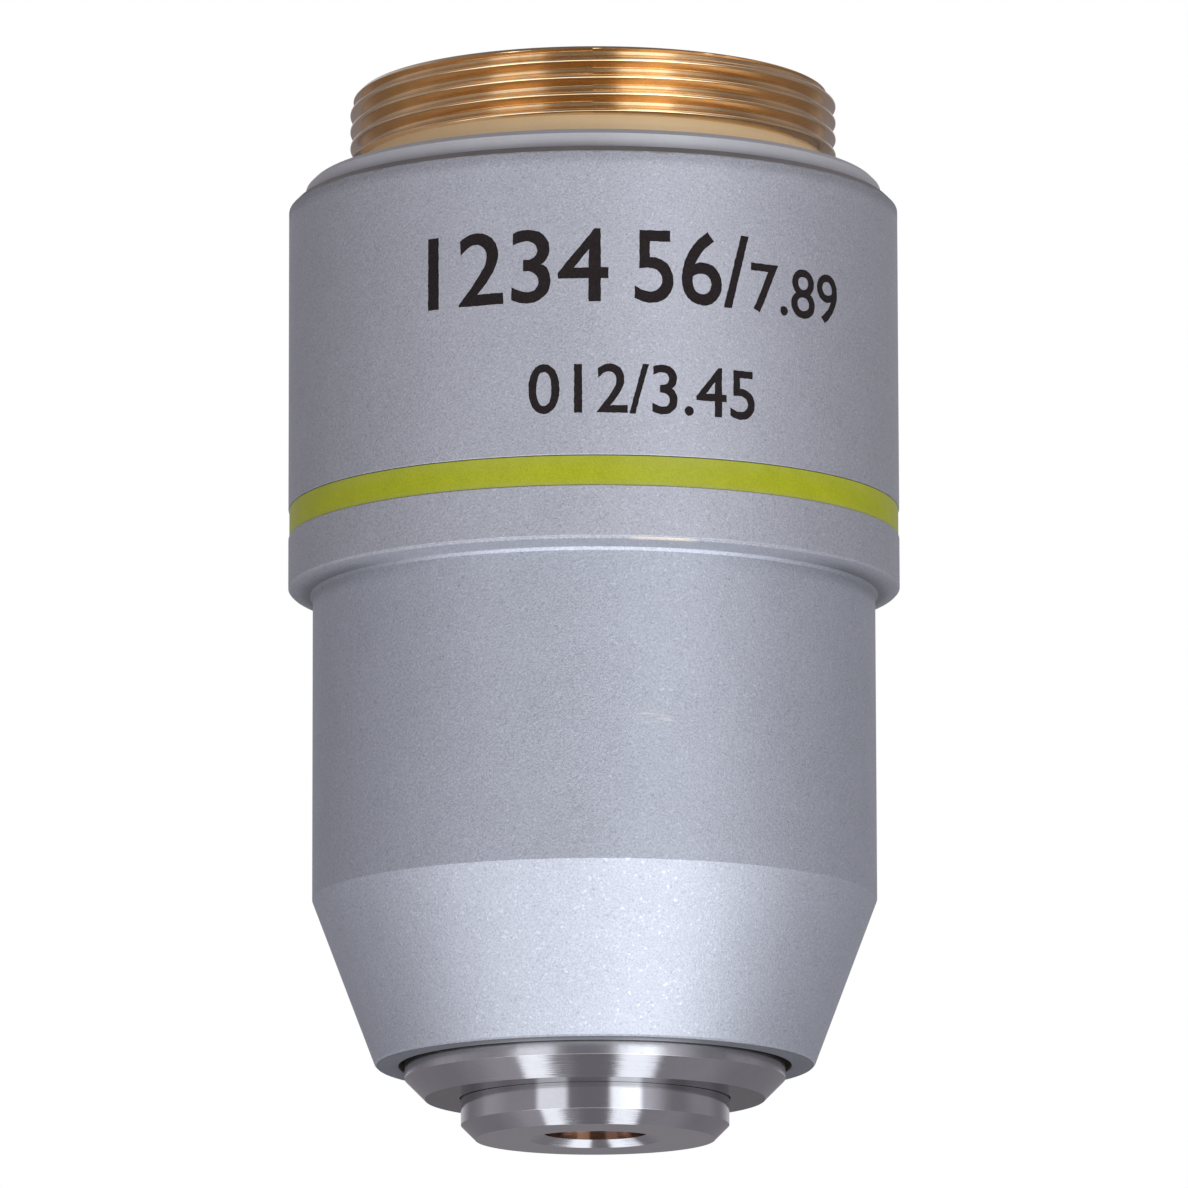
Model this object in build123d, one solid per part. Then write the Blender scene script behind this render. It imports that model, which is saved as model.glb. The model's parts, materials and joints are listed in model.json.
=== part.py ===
from build123d import *
from math import copysign, sqrt
import os

# Finite-tube microscope objective of ten times, held by its thread and hanging nose down, as in use.
# Millimetres. The origin is the centre of the mounting shoulder and +Z is the optical axis, away from
# the specimen. Every turned piece is drawn as half a section, in points of (radius, height).

# Fits and films shared by all pieces
screw_fit = 0.03  # radial play of a screwed or pushed joint
slide_fit = 0.04  # radial play of the lens barrel in the body tube
glass_fit = 0.02  # radial play of a lens in its cell
seat_gap = 0.01  # film of lacquer where metal meets a curved lens face
cement_gap = 0.01  # optical cement between two lenses
overrun = 1.0  # how far a cut runs past the metal or glass

# Body tube: standard 20.32 mm objective thread, shoulder flange, rear bore and guide bore. The thread sets
# all other radii, through walls, steps and fits. An undercut keeps the shoulder face clear of the crests.
thread_r = 10.16
thread_length = 2.86
thread_end_bevel = 0.36
relief_step = 0.46
relief_length = 1.05
undercut_reach = 0.24
undercut_depth = 0.10
flange_set_back = 0.70
flange_thickness = 0.84
flange_bevel = 0.20
rear_wall = 1.10
barrel_seat_width = 0.70
barrel_seat_depth = 8.0
body_depth = 19.5
body_wall = 2.50

# Upper sleeve: wide, engraved, painted, with a groove for the colour ring
sleeve_step = 1.02
sleeve_depth = 17.10
sleeve_top_bevel = 0.25
sleeve_foot_bevel = 0.08
underside_drop = 0.25
band_rise = 2.15
band_height = 1.25
band_groove = 0.30
band_recess = 0.04
band_play = 0.02

# Cone sleeve: narrower, screwed up into the upper sleeve and clear of the body tube
cover_gap = 0.39
cone_sleeve_wall = 0.90
joint_length = 4.7
cone_depth = 30.10
cone_height = 6.92
cone_lip_width = 1.06
cone_foot_bevel = 0.28

# Lens barrel: polished nose ring below, head above that hangs on the parfocal shim
barrel_wall = 1.86
barrel_stand_out = 1.36
barrel_head_height = 1.2
barrel_nose_bevel = 0.83
nose_gap = 0.25
web_height = 1.2
web_width = 0.9
nose_joint_length = 4.8
nose_mouth_bevel = 0.05
shim_thickness = 0.5

# Lock ring over the head of the lens barrel
lock_ring_height = 2.0
lock_ring_width = 1.85
spanner_slot_width = 1.2
spanner_slot_depth = 0.8

# Nose cell: the lowest piece, which carries the front lens
nose_step = 0.46
nose_stand_out = 1.67
nose_bevel = 0.59
countersink_width = 0.58
countersink_depth = 0.27
opening_flare = 0.09
front_seat_height = 0.90
front_ring_height = 0.8
front_ring_wall = 0.55
front_ring_width = 1.0

# Lens faces. A curve is the radius of a face, positive where its centre lies above it and negative where
# its centre lies below it.
# Front lens: thick meniscus, hollow towards the specimen
front_lens_share = 0.56  # of the nose's radius
front_opening_share = 0.66  # of the lens's radius
front_lens_thickness = 2.7
front_low_curve = -8.0
front_high_curve = -6.0

# Single lens
single_share = 0.72  # of the radius of the cells, like the next two
single_thickness = 2.2
single_low_curve = -30.0
single_high_curve = -12.0

# Cemented doublet: crown below, flint above
doublet_share = 0.80
doublet_crown_thickness = 3.4
doublet_flint_thickness = 1.2
doublet_low_curve = 16.0
doublet_cement_curve = -11.0
doublet_high_curve = -40.0

# Rear doublet: flint below, crown above, hollow towards the eyepiece to flatten the field
rear_share = 0.77
rear_flint_thickness = 1.2
rear_crown_thickness = 2.6
rear_low_curve = -20.0
rear_cement_curve = 13.0
rear_high_curve = 26.0

# Cells that stack in the lens barrel. The skirt of a cell sets the air space above its lenses.
cell_lip_height = 0.6
cell_lip_width = 0.45
single_skirt = 1.6
doublet_skirt = 5.2
rear_skirt = 0.6
stop_thickness = 0.3
stop_width = 1.97
stack_ring_height = 1.5
stack_ring_width = 1.2

# Set screws that centre the doublet cell, reached when the sleeves are off
centring_screw_count = 3
centring_screw_r = 0.7
centring_screw_play = 0.02
centring_screw_sink = 0.15
centring_slot_width = 0.25
centring_slot_depth = 0.3

# Radii that follow from the sizes above
relief_r = thread_r - relief_step
undercut_r = thread_r + undercut_reach
rear_bore_r = relief_r - rear_wall
guide_bore_r = rear_bore_r - barrel_seat_width
body_r = guide_bore_r + body_wall
cone_bore_r = body_r + cover_gap
cone_sleeve_r = cone_bore_r + cone_sleeve_wall
sleeve_r = cone_sleeve_r + sleeve_step
flange_r = sleeve_r - flange_set_back
barrel_head_r = rear_bore_r - slide_fit
barrel_r = guide_bore_r - slide_fit
barrel_bore_r = barrel_r - barrel_wall
cell_r = barrel_bore_r - screw_fit
nose_r = barrel_bore_r - nose_step
nose_bore_r = nose_r + screw_fit
front_lens_r = nose_r * front_lens_share
front_opening_r = front_lens_r * front_opening_share

# Heights that follow from the sizes above
thread_top = relief_length + thread_length
flange_low = -flange_thickness
sleeve_corner = -sleeve_depth
sleeve_low = sleeve_corner - underside_drop
joint_top = sleeve_low + joint_length
cone_top = -cone_depth
cone_low = cone_top - cone_height
barrel_seat = -barrel_seat_depth
head_low = barrel_seat + shim_thickness
head_top = head_low + barrel_head_height
barrel_low = cone_low - barrel_stand_out
nose_low = barrel_low - nose_stand_out
web_low = barrel_low + nose_joint_length
stack_low = web_low + web_height


def turned(outline):
    """Solid of revolution about the optical axis, from a closed outline of (radius, height)."""
    return revolve(make_face(Plane.XZ * Polyline(*outline, close=True)), Axis.Z)


def ring(inner_r, outer_r, low, high):
    """Plain ring about the optical axis."""
    return turned([(inner_r, low), (outer_r, low), (outer_r, high), (inner_r, high)])


def slotted(solid, outer_r, top):
    """A ring with two spanner slots opposite each other in its upper face."""
    across = Box(2 * (outer_r + overrun), spanner_slot_width, 2 * spanner_slot_depth)
    return solid - Pos(0, 0, top) * across


def sag(curve, r):
    """Height of a spherical lens face at radius r, above its vertex on the axis."""
    return curve - copysign(sqrt(curve**2 - r**2), curve)


def ball(vertex, curve):
    """Ball that a lens face is part of, on its side so that its poles and seam are clear of the face."""
    side = copysign(90, -curve)
    return Pos(0, 0, vertex + curve) * Sphere(abs(curve), rotation=(0, side, 0))


def lens(rim_r, low, low_curve, high, high_curve):
    """Lens ground from a glass rod, its two faces given by the height of the vertex and the curve."""
    rod_low = low + min(0, sag(low_curve, rim_r)) - overrun
    rod_high = high + max(0, sag(high_curve, rim_r)) + overrun
    glass = Pos(0, 0, (rod_low + rod_high) / 2) * Cylinder(rim_r, rod_high - rod_low)
    low_ball = ball(low, low_curve)
    high_ball = ball(high, high_curve)
    glass = glass & low_ball if low_curve > 0 else glass - low_ball
    return glass - high_ball if high_curve > 0 else glass & high_ball


def vertex_on_lip(lip_top, lip_r, rim_r, curve):
    """Height of the lower vertex of a lens that rests on a lip."""
    return lip_top + seat_gap - min(sag(curve, lip_r), sag(curve, rim_r))


def lens_group(base, rim_r, curves, thicknesses, skirt):
    """The cell and the lenses of one group, from the bottom up, and the height of the cell's top."""
    lip_r = rim_r - cell_lip_width
    lip_top = base + cell_lip_height
    bore_r = rim_r + glass_fit
    vertex = vertex_on_lip(lip_top, lip_r, rim_r, curves[0])
    lenses = []
    for low_curve, high_curve, thickness in zip(curves, curves[1:], thicknesses):
        top_vertex = vertex + thickness
        lenses.append(lens(rim_r, vertex, low_curve, top_vertex, high_curve))
        vertex = top_vertex + cement_gap
    top = top_vertex + max(0, sag(curves[-1], rim_r)) + skirt
    cell = turned([
        (lip_r, base),
        (cell_r, base),
        (cell_r, top),
        (bore_r, top),
        (bore_r, lip_top),
        (lip_r, lip_top),
    ])
    return cell, lenses, top


def make_body_tube():
    """Brass tube with the mounting thread at nominal size, the shoulder flange and the guide bore."""
    body_low = -body_depth
    return turned([
        (thread_r - thread_end_bevel, thread_top),
        (thread_r, thread_top - thread_end_bevel),
        (thread_r, relief_length),
        (relief_r, relief_length),
        (relief_r, -undercut_depth),
        (undercut_r, -undercut_depth),
        (undercut_r, 0),
        (flange_r - flange_bevel, 0),
        (flange_r, -flange_bevel),
        (flange_r, flange_low),
        (body_r, flange_low),
        (body_r, body_low),
        (guide_bore_r, body_low),
        (guide_bore_r, barrel_seat),
        (rear_bore_r, barrel_seat),
        (rear_bore_r, thread_top),
    ])


def make_upper_sleeve():
    """Wide sleeve with a bevelled top, the groove of the colour ring and a slightly conical underside."""
    bore_r = body_r + screw_fit
    joint_r = cone_sleeve_r + screw_fit
    groove_r = sleeve_r - band_groove
    band_low = sleeve_corner + band_rise
    band_top = band_low + band_height
    return turned([
        (sleeve_r - sleeve_top_bevel, flange_low),
        (sleeve_r, flange_low - sleeve_top_bevel),
        (sleeve_r, band_top),
        (groove_r, band_top),
        (groove_r, band_low),
        (sleeve_r, band_low),
        (sleeve_r, sleeve_corner + sleeve_foot_bevel),
        (sleeve_r - sleeve_foot_bevel, sleeve_corner),
        (joint_r, sleeve_low),
        (joint_r, joint_top),
        (bore_r, joint_top),
        (bore_r, flange_low),
    ])


def make_colour_ring():
    """Magnification ring, just below the surface of the sleeve, resting on the groove's lower wall."""
    low = sleeve_corner + band_rise
    inner_r = sleeve_r - band_groove + band_play
    return ring(inner_r, sleeve_r - band_recess, low, low + band_height - band_play)


def make_cone_sleeve():
    """Narrow sleeve with a solid cone at its foot, bored to clear the nose."""
    lip_r = barrel_r + nose_gap
    foot_r = lip_r + cone_lip_width
    return turned([
        (cone_sleeve_r, joint_top),
        (cone_sleeve_r, cone_top),
        (foot_r, cone_low + cone_foot_bevel),
        (foot_r - cone_foot_bevel, cone_low),
        (lip_r, cone_low),
        (lip_r, cone_top),
        (cone_bore_r, cone_top),
        (cone_bore_r, joint_top),
    ])


def radial_copies(solid):
    """The centring screws, or their holes, spaced evenly about the axis."""
    turns = range(centring_screw_count)
    return [Rot(0, 0, 360 * turn / centring_screw_count) * solid for turn in turns]


def make_lens_barrel(screw_height):
    """Steel tube for the lens stack, with a head, an inner web, a bevelled nose and centring screw holes."""
    web_r = nose_bore_r - web_width
    tube = turned([
        (barrel_bore_r, head_top),
        (barrel_head_r, head_top),
        (barrel_head_r, head_low),
        (barrel_r, head_low),
        (barrel_r, barrel_low + barrel_nose_bevel),
        (barrel_r - barrel_nose_bevel, barrel_low),
        (nose_bore_r + nose_mouth_bevel, barrel_low),
        (nose_bore_r, barrel_low + nose_mouth_bevel),
        (nose_bore_r, web_low),
        (web_r, web_low),
        (web_r, stack_low),
        (barrel_bore_r, stack_low),
    ])
    middle_r = (barrel_r + barrel_bore_r) / 2
    hole_length = barrel_r - barrel_bore_r + 2 * overrun
    hole = Cylinder(centring_screw_r + centring_screw_play, hole_length, rotation=(0, 90, 0))
    return tube - radial_copies(Pos(middle_r, 0, screw_height) * hole)


def make_centring_screws(screw_height):
    """Slotted set screws from the doublet cell out to just under the surface of the lens barrel."""
    inner_r = cell_r + seat_gap
    outer_r = barrel_r - centring_screw_sink
    shank = Cylinder(centring_screw_r, outer_r - inner_r, rotation=(0, 90, 0))
    screw = Pos((inner_r + outer_r) / 2, 0, screw_height) * shank
    slot = Box(2 * centring_slot_depth, 2 * (centring_screw_r + overrun), centring_slot_width)
    return Compound(children=radial_copies(screw - Pos(outer_r, 0, screw_height) * slot))


def make_nose_cell(thread_r, thread_low):
    """Lowest cell: bevelled nose, countersunk front opening, lens seat and thread for the front ring."""
    lens_bore_r = front_lens_r + glass_fit
    mouth_r = front_opening_r + opening_flare
    seat = nose_low + front_seat_height
    return turned([
        (mouth_r + countersink_width, nose_low),
        (nose_r - nose_bevel, nose_low),
        (nose_r, nose_low + nose_bevel),
        (nose_r, web_low),
        (thread_r, web_low),
        (thread_r, thread_low),
        (lens_bore_r, thread_low),
        (lens_bore_r, seat),
        (front_opening_r, seat),
        (mouth_r, nose_low + countersink_depth),
    ])


def make_front_group():
    """Nose cell, front lens and the ring that holds the lens down on its seat."""
    seat = nose_low + front_seat_height
    low = vertex_on_lip(seat, front_opening_r, front_lens_r, front_low_curve)
    high = low + front_lens_thickness
    front_lens = lens(front_lens_r, low, front_low_curve, high, front_high_curve)
    thread_r = front_lens_r + glass_fit + front_ring_wall
    outer_r = thread_r - screw_fit
    hole_r = outer_r - front_ring_width
    ring_low = high + seat_gap + sag(front_high_curve, hole_r)
    thread_low = high + sag(front_high_curve, front_lens_r)
    front_ring = ring(hole_r, outer_r, ring_low, ring_low + front_ring_height)
    return make_nose_cell(thread_r, thread_low), front_lens, front_ring


def make_stack():
    """The lens cells from the web upwards, closed by the aperture stop and the slotted stack ring."""
    single_cell, single_lenses, single_top = lens_group(
        stack_low,
        cell_r * single_share,
        [single_low_curve, single_high_curve],
        [single_thickness],
        single_skirt,
    )
    doublet_cell, doublet_lenses, doublet_top = lens_group(
        single_top,
        cell_r * doublet_share,
        [doublet_low_curve, doublet_cement_curve, doublet_high_curve],
        [doublet_crown_thickness, doublet_flint_thickness],
        doublet_skirt,
    )
    rear_cell, rear_lenses, rear_top = lens_group(
        doublet_top,
        cell_r * rear_share,
        [rear_low_curve, rear_cement_curve, rear_high_curve],
        [rear_flint_thickness, rear_crown_thickness],
        rear_skirt,
    )
    stop_top = rear_top + stop_thickness
    ring_top = stop_top + stack_ring_height
    stack_ring = ring(cell_r - stack_ring_width, cell_r, stop_top, ring_top)
    pieces = {
        "single_lens_cell": single_cell,
        "single_lens": single_lenses[0],
        "doublet_cell": doublet_cell,
        "doublet_crown": doublet_lenses[0],
        "doublet_flint": doublet_lenses[1],
        "rear_cell": rear_cell,
        "rear_flint": rear_lenses[0],
        "rear_crown": rear_lenses[1],
        "aperture_stop": ring(cell_r - stop_width, cell_r, rear_top, stop_top),
        "stack_ring": slotted(stack_ring, cell_r, ring_top),
    }
    return pieces, (single_top + doublet_top) / 2


def make_lock_ring():
    """Slotted ring that clamps the head of the lens barrel on its shim."""
    outer_r = rear_bore_r - screw_fit
    top = head_top + lock_ring_height
    return slotted(ring(outer_r - lock_ring_width, outer_r, head_top, top), outer_r, top)


nose_cell, front_lens, front_lens_ring = make_front_group()
pieces, screw_height = make_stack()
pieces |= {
    "body_tube": make_body_tube(),
    "upper_sleeve": make_upper_sleeve(),
    "colour_ring": make_colour_ring(),
    "cone_sleeve": make_cone_sleeve(),
    "lens_barrel": make_lens_barrel(screw_height),
    "centring_screws": make_centring_screws(screw_height),
    "parfocal_shim": ring(guide_bore_r, barrel_head_r, barrel_seat, head_low),
    "barrel_lock_ring": make_lock_ring(),
    "nose_cell": nose_cell,
    "front_lens": front_lens,
    "front_lens_ring": front_lens_ring,
}
os.makedirs("parts", exist_ok=True)
for name, solid in pieces.items():
    solid.label = name
    export_step(solid, f"parts/{name}.step")
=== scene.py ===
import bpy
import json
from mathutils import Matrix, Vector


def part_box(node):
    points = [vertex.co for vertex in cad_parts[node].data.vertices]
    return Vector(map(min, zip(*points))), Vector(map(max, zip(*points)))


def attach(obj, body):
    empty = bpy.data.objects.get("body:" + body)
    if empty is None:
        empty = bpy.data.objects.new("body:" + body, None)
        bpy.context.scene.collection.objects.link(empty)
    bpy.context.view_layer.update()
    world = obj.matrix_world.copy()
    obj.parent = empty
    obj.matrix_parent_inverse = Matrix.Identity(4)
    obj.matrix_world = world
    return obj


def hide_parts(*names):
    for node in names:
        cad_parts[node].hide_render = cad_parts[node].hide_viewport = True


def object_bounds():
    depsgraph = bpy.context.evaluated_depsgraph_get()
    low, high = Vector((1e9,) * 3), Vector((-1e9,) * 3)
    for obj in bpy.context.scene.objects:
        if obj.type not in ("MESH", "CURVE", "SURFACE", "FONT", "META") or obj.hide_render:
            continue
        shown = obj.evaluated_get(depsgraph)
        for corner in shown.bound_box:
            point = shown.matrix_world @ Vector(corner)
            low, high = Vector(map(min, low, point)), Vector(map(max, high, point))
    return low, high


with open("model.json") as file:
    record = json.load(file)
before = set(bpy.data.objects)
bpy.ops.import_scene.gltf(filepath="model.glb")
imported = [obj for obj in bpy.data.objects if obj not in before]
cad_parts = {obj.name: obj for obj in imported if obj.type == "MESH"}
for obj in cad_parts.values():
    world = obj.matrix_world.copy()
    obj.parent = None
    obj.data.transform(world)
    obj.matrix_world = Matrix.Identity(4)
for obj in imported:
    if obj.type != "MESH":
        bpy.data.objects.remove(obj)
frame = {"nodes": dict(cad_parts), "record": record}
cad_box = [list(corner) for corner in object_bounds()]

import json
import math

import bmesh
import bpy
from bpy.props import FloatProperty, FloatVectorProperty, PointerProperty
from mathutils import Matrix, Vector, noise

bl_info = {
    "name": "Microscope objective",
    "version": (1, 0, 0),
    "blender": (4, 5, 0),
    "location": "3D View > Sidebar > Objective",
    "description": "Finishes the packed model of a low-power microscope objective",
    "category": "Object",
}

# Heights and radii are in millimetres, as in the part's drawing, and become metres when a mesh is
# made. Turns are angles about the axis in radians, from the front towards +X. The origin is the
# centre of the mounting shoulder, +Z points away from the specimen and -Y is the front.
MM = 0.001
BODY = "root"

TURN_STEPS = 240  # points round a turned piece
EDGE_ARC_STEPS = 3
SHARP_ANGLE = math.radians(35)
CIRCLE_POINTS = 20  # a corner that more CAD vertices share is a circle
MERGE_DISTANCE = 2e-4

# Places in the part's drawing that the wear, the painted shade and the painted highlight follow
TOP_BEVEL_Z = -1.09  # lower edge of the upper sleeve's top bevel
RING_LOW_Z, RING_TOP_Z = -14.95, -13.70
STEP_Z = -17.10  # foot of the upper sleeve
CONE_SLEEVE_R = 11.69
CONE_FOOT_Z = -37.02


# Half sections of the turned CAD nodes


def outline_of(node):
    """Corners (radius, height) of a turned CAD node's half section, in order round the section."""
    mesh = frame["nodes"][node].data
    place = []
    for vertex in mesh.vertices:
        x, y, z = vertex.co / MM
        place.append((round(math.hypot(x, y), 3), round(z, 3)))
    count = {}
    for corner in place:
        count[corner] = count.get(corner, 0) + 1
    circles = {corner for corner, found in count.items() if found > CIRCLE_POINTS}
    beside = {corner: set() for corner in circles}
    for polygon in mesh.polygons:
        met = {place[i] for i in polygon.vertices} & circles
        if len(met) == 2:
            one, other = met
            beside[one].add(other)
            beside[other].add(one)
    start = max(circles)
    outline, before = [start], None
    while True:
        here = outline[-1]
        onward = sorted(beside[here] - {before})
        before = here
        if not onward or onward[0] == start and len(outline) > 2:
            break
        nearest = onward[0] if onward[0] not in outline else onward[-1]
        if nearest in outline:
            break
        outline.append(nearest)
    if len(outline) < 4:
        raise RuntimeError(f"the half section of {node} can't be read")
    return without_straight_points(outline)


def without_straight_points(outline):
    """The outline without points that lie on the line between their neighbours."""
    flatness = 2e-3  # distance from the line
    kept = []
    for i, (r, z) in enumerate(outline):
        r0, z0 = outline[i - 1]
        r1, z1 = outline[(i + 1) % len(outline)]
        area = (r - r0) * (z1 - z) - (z - z0) * (r1 - r)
        if abs(area) > flatness * math.hypot(r1 - r0, z1 - z0):
            kept.append((r, z))
    return kept


def softened(outline, radius, closed=True, rounder=None):
    """The outline with each corner turned to a small arc, held by a point on the flat beside it.

    rounder(r, z) gives a corner's own radius, or nothing.
    """
    longest_run = 0.37  # share of the neighbouring side
    hold_share = 0.35  # share of the arc's run
    last = len(outline) - 1
    points = []
    for i, corner in enumerate(outline):
        if not closed and i in (0, last):
            points.append(corner)
            continue
        here = Vector(corner)
        back = Vector(outline[i - 1]) - here
        onward = Vector(outline[(i + 1) % len(outline)]) - here
        half = back.angle(onward) / 2
        wanted = rounder and rounder(*corner) or radius
        run = min(wanted / math.tan(half), longest_run * back.length, longest_run * onward.length)
        start, end = here + back.normalized() * run, here + onward.normalized() * run
        hold = hold_share * run
        points.append(tuple(start + back.normalized() * hold))
        for step in range(EDGE_ARC_STEPS + 1):
            t = step / EDGE_ARC_STEPS
            point = start * (1 - t) ** 2 + here * (2 * t * (1 - t)) + end * t**2
            points.append(tuple(point))
        points.append(tuple(end + onward.normalized() * hold))
    return points


# Meshes


def around(r, turn, z):
    """Point at a radius, a turn and a height, in metres."""
    return Vector((r * math.sin(turn), -r * math.cos(turn), z)) * MM


def turned_mesh(outline, closed=True):
    """Surface of revolution of an outline as a bmesh."""
    bm = bmesh.new()
    rings = []
    for r, z in outline:
        turns = (2 * math.pi * i / TURN_STEPS for i in range(TURN_STEPS))
        rings.append([bm.verts.new(around(r, turn, z)) for turn in turns])
    pairs = list(zip(rings, rings[1:]))
    if closed:
        pairs.append((rings[-1], rings[0]))
    for low, high in pairs:
        for i in range(TURN_STEPS):
            j = (i + 1) % TURN_STEPS
            bm.faces.new((low[i], low[j], high[j], high[i]))
    return bm


def mesh_of(bm, name):
    """Mesh made of a bmesh, which is freed."""
    mesh = bpy.data.meshes.new(name)
    bm.to_mesh(mesh)
    bm.free()
    return mesh


def placed(name, data):
    """Object in the scene's collection."""
    thing = bpy.data.objects.new(name, data)
    bpy.context.scene.collection.objects.link(thing)
    return thing


def evaluated_mesh(thing):
    """Plain mesh of an object as its modifiers or its text leave it."""
    graph = bpy.context.evaluated_depsgraph_get()
    return bpy.data.meshes.new_from_object(thing.evaluated_get(graph), depsgraph=graph)


def piece_from(bm, name, materials, rule=None):
    """Object made of a bmesh, smooth but for its sharp edges.

    rule gives a face's material from its radius, its height and how far its normal points away
    from the axis.
    """
    bmesh.ops.remove_doubles(bm, verts=bm.verts, dist=MERGE_DISTANCE * MM)
    bmesh.ops.dissolve_degenerate(bm, edges=bm.edges, dist=MERGE_DISTANCE / 2 * MM)
    bmesh.ops.recalc_face_normals(bm, faces=bm.faces)
    mesh = mesh_of(bm, name)
    for material in materials:
        mesh.materials.append(material)
    for polygon in mesh.polygons:
        polygon.use_smooth = True
        if rule:
            x, y, z = polygon.center / MM
            r = math.hypot(x, y)
            outward = (polygon.normal.x * x + polygon.normal.y * y) / r
            polygon.material_index = rule(r, z, outward)
    mesh.set_sharp_from_angle(angle=SHARP_ANGLE)
    return placed(name, mesh)


def stands_for(piece, node):
    """The piece takes the place of a CAD node."""
    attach(piece, BODY)
    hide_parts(node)
    for part in frame["record"]["subparts"]:
        part["node"] == node


def dress(node, material):
    """A CAD node that stays as it is and gets a material."""
    mesh = frame["nodes"][node].data
    mesh.materials.clear()
    mesh.materials.append(material)


# Shader and geometry nodes


class Wire:
    """A socket's output that Python's operators join with Math nodes."""

    def __init__(self, graph, socket):
        self.graph = graph
        self.socket = socket

    def math(self, operation, *others):
        return self.graph.math(operation, self, *others)

    def __add__(self, other):
        return self.math("ADD", other)

    def __sub__(self, other):
        return self.math("SUBTRACT", other)

    def __rsub__(self, other):
        return self.graph.math("SUBTRACT", other, self)

    def __mul__(self, other):
        return self.math("MULTIPLY", other)

    def __truediv__(self, other):
        return self.math("DIVIDE", other)

    def __rtruediv__(self, other):
        return self.graph.math("DIVIDE", other, self)

    __radd__ = __add__
    __rmul__ = __mul__

    def clamped(self):
        return self.graph.add("ShaderNodeClamp", {}, {0: self})

    def ramp(self, low, high, to_low=0.0, to_high=1.0, kind="SMOOTHSTEP"):
        """The value mapped from low..high to to_low..to_high, level outside."""
        sockets = {0: self, 1: low, 2: high, 3: to_low, 4: to_high}
        return self.graph.add("ShaderNodeMapRange", {"interpolation_type": kind}, sockets)

    def window(self, low, high, soft):
        """1 between low and high, falling to 0 over a soft edge."""
        rise = self.ramp(low - soft, low + soft)
        return rise * self.ramp(high - soft, high + soft, 1.0, 0.0)


class Graph:
    """The node tree of a material, a world or a geometry."""

    def __init__(self, tree):
        self.tree = tree

    def add(self, kind, settings=None, sockets=None, out=0):
        """Adds a node: its settings first, then the values or wires of its sockets."""
        node = self.tree.nodes.new(kind)
        for name, value in (settings or {}).items():
            setattr(node, name, value)
        for name, value in (sockets or {}).items():
            self.feed(node.inputs[name], value)
        return Wire(self, node.outputs[out]) if node.outputs else None

    def feed(self, socket, value):
        """Links a wire to the socket, or sets its value."""
        if isinstance(value, Wire):
            self.tree.links.new(value.socket, socket)
        elif isinstance(value, tuple) and len(value) == 3 and socket.type == "RGBA":
            socket.default_value = (*value, 1)
        else:
            socket.default_value = value

    def math(self, operation, *values):
        return self.add("ShaderNodeMath", {"operation": operation}, dict(enumerate(values)))

    def scaled(self, vector, factor):
        return self.add("ShaderNodeVectorMath", {"operation": "SCALE"}, {0: vector, 3: factor})

    def mix(self, share, one, other, blend="MIX"):
        """Colour between one and other."""
        settings = {"data_type": "RGBA", "blend_type": blend}
        return self.add("ShaderNodeMix", settings, {0: share, 6: one, 7: other}, out=2)

    def toned(self, colour, tone):
        """Colour made lighter or darker by a tone."""
        return self.mix(1.0, colour, self.joined(tone, tone, tone), "MULTIPLY")

    def parts(self, vector):
        node = self.tree.nodes.new("ShaderNodeSeparateXYZ")
        self.feed(node.inputs[0], vector)
        return [Wire(self, output) for output in node.outputs]

    def joined(self, x, y, z):
        return self.add("ShaderNodeCombineXYZ", {}, {0: x, 1: y, 2: z})

    def noise(self, place, scale, detail=2.0, roughness=0.5):
        """Noise from 0 to 1, its scale in features for each unit of place."""
        sockets = {"Vector": place, "Scale": scale, "Detail": detail, "Roughness": roughness}
        return self.add("ShaderNodeTexNoise", {"noise_dimensions": "3D"}, sockets)


class Surface(Graph):
    """A material with its position on the objective in millimetres, its radius, height and turn."""

    def __init__(self, name):
        self.material = bpy.data.materials.new(name)
        self.material.use_nodes = True
        super().__init__(self.material.node_tree)
        self.tree.nodes.clear()
        object_place = self.add("ShaderNodeTexCoord", {}, {}, out=3)
        self.place = self.scaled(object_place, 1 / MM)
        self.x, self.y, self.z = self.parts(self.place)
        self.radius = (self.x * self.x + self.y * self.y).math("SQRT")
        self.turn = self.x.math("ARCTAN2", self.y * -1)

    def turning_marks(self, density, waver, detail, roughness=0.5):
        """Noise drawn out along the turn, as a lathe leaves it, in marks a millimetre."""
        drawn = self.joined(self.radius * density, self.turn * waver, self.z * density)
        return self.noise(drawn, 1.0, detail, roughness)

    def bump(self, height, depth):
        """Normal of a relief whose full height is depth millimetres."""
        sockets = {"Height": height, "Distance": depth * MM, "Strength": 1.0}
        return self.add("ShaderNodeBump", {}, sockets)

    def finish(self, **sockets):
        """Ends the material in a Principled shader. An underscore in a name stands for a space."""
        named = {name.replace("_", " "): value for name, value in sockets.items()}
        shader = self.add("ShaderNodeBsdfPrincipled", {}, named)
        self.add("ShaderNodeOutputMaterial", {}, {0: shader})
        return self.material


# Finishes


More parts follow.
